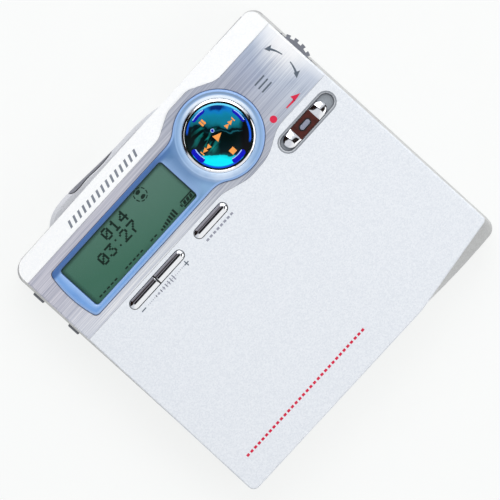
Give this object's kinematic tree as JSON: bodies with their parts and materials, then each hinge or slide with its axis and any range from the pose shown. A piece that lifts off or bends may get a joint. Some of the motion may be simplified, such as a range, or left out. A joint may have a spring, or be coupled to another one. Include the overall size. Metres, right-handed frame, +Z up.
{
  "type": "portable disc recorder",
  "caption": "Pocket disc recorder with a hinged lid, display, round control key, thumb wheel, and a disc holder that lifts with the lid over a sprung drive deck.",
  "frame": {"origin": "middle of the case's footprint, on its flat underside", "axes": "+X to the reader's right, +Y towards the hinge edge, +Z up through the lid"},
  "size_m": [0.0807, 0.0749, 0.0171],
  "materials": {
    "case_silver": "satin",
    "belt_silver": "satin",
    "bulge_silver": "satin",
    "lid_grey": "satin",
    "pearl_paint": "fine pearl",
    "brushed_silver": "brushed along X",
    "strip_white": "satin",
    "bezel_blue": "gloss",
    "clear_window": "gloss",
    "display_green": "gloss",
    "key_blue": "mirror gloss",
    "bright_chrome": "polished",
    "steel": "ground",
    "deck_steel": "plated sheet",
    "liner_steel": "plated sheet",
    "spring_metal": "plated",
    "dark_plastic": "matt",
    "knob_grey": "satin",
    "wheel_grey": "satin",
    "board_green": "solder mask",
    "battery_silver": "wrapped",
    "black_rubber": "matt",
    "clear_lens": "coated lens"
  },
  "bodies": {
    "base": {"bottom_case": "case_silver", "side_frame": "belt_silver", "case_screws": "steel", "rear_bulge": "bulge_silver", "jack_cover": "dark_plastic", "hinge_bracket": "steel", "hinge_pin": "steel", "chassis_plate": "deck_steel", "guide_rods": "steel", "spindle_motor": "deck_steel", "sled_motor": "deck_steel", "shock_mounts": "black_rubber", "chassis_screws": "steel", "main_board": "board_green", "board_chips": "dark_plastic", "battery": "battery_silver", "battery_contacts": "spring_metal", "battery_door_pin": "steel", "headphone_jack": "dark_plastic", "line_jack": "dark_plastic", "microphone_jack": "dark_plastic", "power_jack": "dark_plastic", "side_switches": "dark_plastic"},
    "turntable": {"turntable": "dark_plastic"},
    "pickup": {"pickup_sled": "dark_plastic", "pickup_lens": "clear_lens"},
    "lead_screw": {"lead_screw": "steel"},
    "battery_door": {"battery_door": "case_silver"},
    "open_slider": {"open_slider": "knob_grey", "latch_hook": "steel"},
    "hold_knob": {"hold_knob": "knob_grey"},
    "far_side_button": {"far_side_button": "knob_grey"},
    "near_side_button": {"near_side_button": "knob_grey"},
    "disc_holder": {"disc_holder": "deck_steel"},
    "lid": {"lid_frame": "lid_grey", "lid_plate": "pearl_paint", "brushed_panel": "brushed_silver", "rear_strip": "strip_white", "display_bezel": "bezel_blue", "display_window": "clear_window", "lcd_panel": "display_green", "lid_board": "board_green", "lid_liner": "liner_steel", "key_ring": "bright_chrome", "dome_switches": "spring_metal", "record_tray": "knob_grey"},
    "wheel_carriage": {"wheel_carriage": "dark_plastic"},
    "thumb_wheel": {"thumb_wheel": "wheel_grey"},
    "key_plunger": {"key_plunger": "dark_plastic"},
    "key_rocker": {"key_rocker": "dark_plastic"},
    "control_key": {"control_key": "key_blue"},
    "volume_down_key": {"volume_down_key": "bright_chrome"},
    "volume_up_key": {"volume_up_key": "bright_chrome"},
    "group_key": {"group_key": "bright_chrome"},
    "record_knob": {"record_knob": "bright_chrome"}
  },
  "joints": [
    {"name": "lid_hinge", "type": "hinge", "parent": "base", "child": "lid", "pos_m": [0, 0.03475, 0.013], "axis": [-1, 0, 0], "range_deg": [0, 40]},
    {"name": "holder_hinge", "type": "hinge", "parent": "base", "child": "disc_holder", "pos_m": [0, 0.03475, 0.013], "axis": [-1, 0, 0], "range_deg": [0, 16]},
    {"name": "turntable_spin", "type": "hinge", "parent": "base", "child": "turntable", "pos_m": [0, -0.0008, 0.0077], "axis": [0, 0, 1], "continuous": true},
    {"name": "sled_slide", "type": "slide", "parent": "base", "child": "pickup", "axis": [1, 0, 0], "range_m": [0, 0.016]},
    {"name": "lead_screw_spin", "type": "hinge", "parent": "base", "child": "lead_screw", "pos_m": [0.02, 0.0164, 0.004], "axis": [1, 0, 0], "range_deg": [0, 2881]},
    {"name": "battery_door_hinge", "type": "hinge", "parent": "base", "child": "battery_door", "pos_m": [-0.03905, -0.0178, 0.004], "axis": [0, 0, -1], "range_deg": [0, 100]},
    {"name": "open_slide", "type": "slide", "parent": "base", "child": "open_slider", "axis": [0, 1, 0], "range_m": [0, 0.002], "stiffness_N_per_m": 300},
    {"name": "hold_slide", "type": "slide", "parent": "base", "child": "hold_knob", "axis": [1, 0, 0], "range_m": [0, 0.002]},
    {"name": "far_side_press", "type": "slide", "parent": "base", "child": "far_side_button", "axis": [1, 0, 0], "range_m": [0, 0.0003], "stiffness_N_per_m": 500},
    {"name": "near_side_press", "type": "slide", "parent": "base", "child": "near_side_button", "axis": [1, 0, 0], "range_m": [0, 0.0003], "stiffness_N_per_m": 500},
    {"name": "wheel_push", "type": "slide", "parent": "lid", "child": "wheel_carriage", "axis": [-1, 0, 0], "range_m": [0, 0.0008], "stiffness_N_per_m": 500},
    {"name": "wheel_spin", "type": "hinge", "parent": "wheel_carriage", "child": "thumb_wheel", "pos_m": [0.03285, 0.0228, 0.015], "axis": [0, 0, 1], "continuous": true},
    {"name": "key_press", "type": "slide", "parent": "lid", "child": "key_plunger", "axis": [0, 0, -1], "range_m": [0, 0.0003], "stiffness_N_per_m": 500},
    {"name": "key_tilt_x", "type": "hinge", "parent": "key_plunger", "child": "key_rocker", "pos_m": [0.01352, 0.0224, 0.01565], "axis": [1, 0, 0], "range_deg": [-3, 3], "stiffness_Nm_per_rad": 0.1},
    {"name": "key_tilt_y", "type": "hinge", "parent": "key_rocker", "child": "control_key", "pos_m": [0.01352, 0.0224, 0.01565], "axis": [0, 1, 0], "range_deg": [-3, 3], "stiffness_Nm_per_rad": 0.1},
    {"name": "volume_down_press", "type": "slide", "parent": "lid", "child": "volume_down_key", "axis": [0, 0, -1], "range_m": [0, 0.0004], "stiffness_N_per_m": 700},
    {"name": "volume_up_press", "type": "slide", "parent": "lid", "child": "volume_up_key", "axis": [0, 0, -1], "range_m": [0, 0.0004], "stiffness_N_per_m": 700},
    {"name": "group_press", "type": "slide", "parent": "lid", "child": "group_key", "axis": [0, 0, -1], "range_m": [0, 0.0004], "stiffness_N_per_m": 700},
    {"name": "record_slide", "type": "slide", "parent": "lid", "child": "record_knob", "axis": [1, 0, 0], "range_m": [0, 0.0022], "stiffness_N_per_m": 400}
  ],
  "couplings": [
    {"joint": "holder_hinge", "follows": "lid_hinge", "ratio": 0.4},
    {"joint": "lead_screw_spin", "follows": "sled_slide", "rad_per_m": 3141.6}
  ]
}
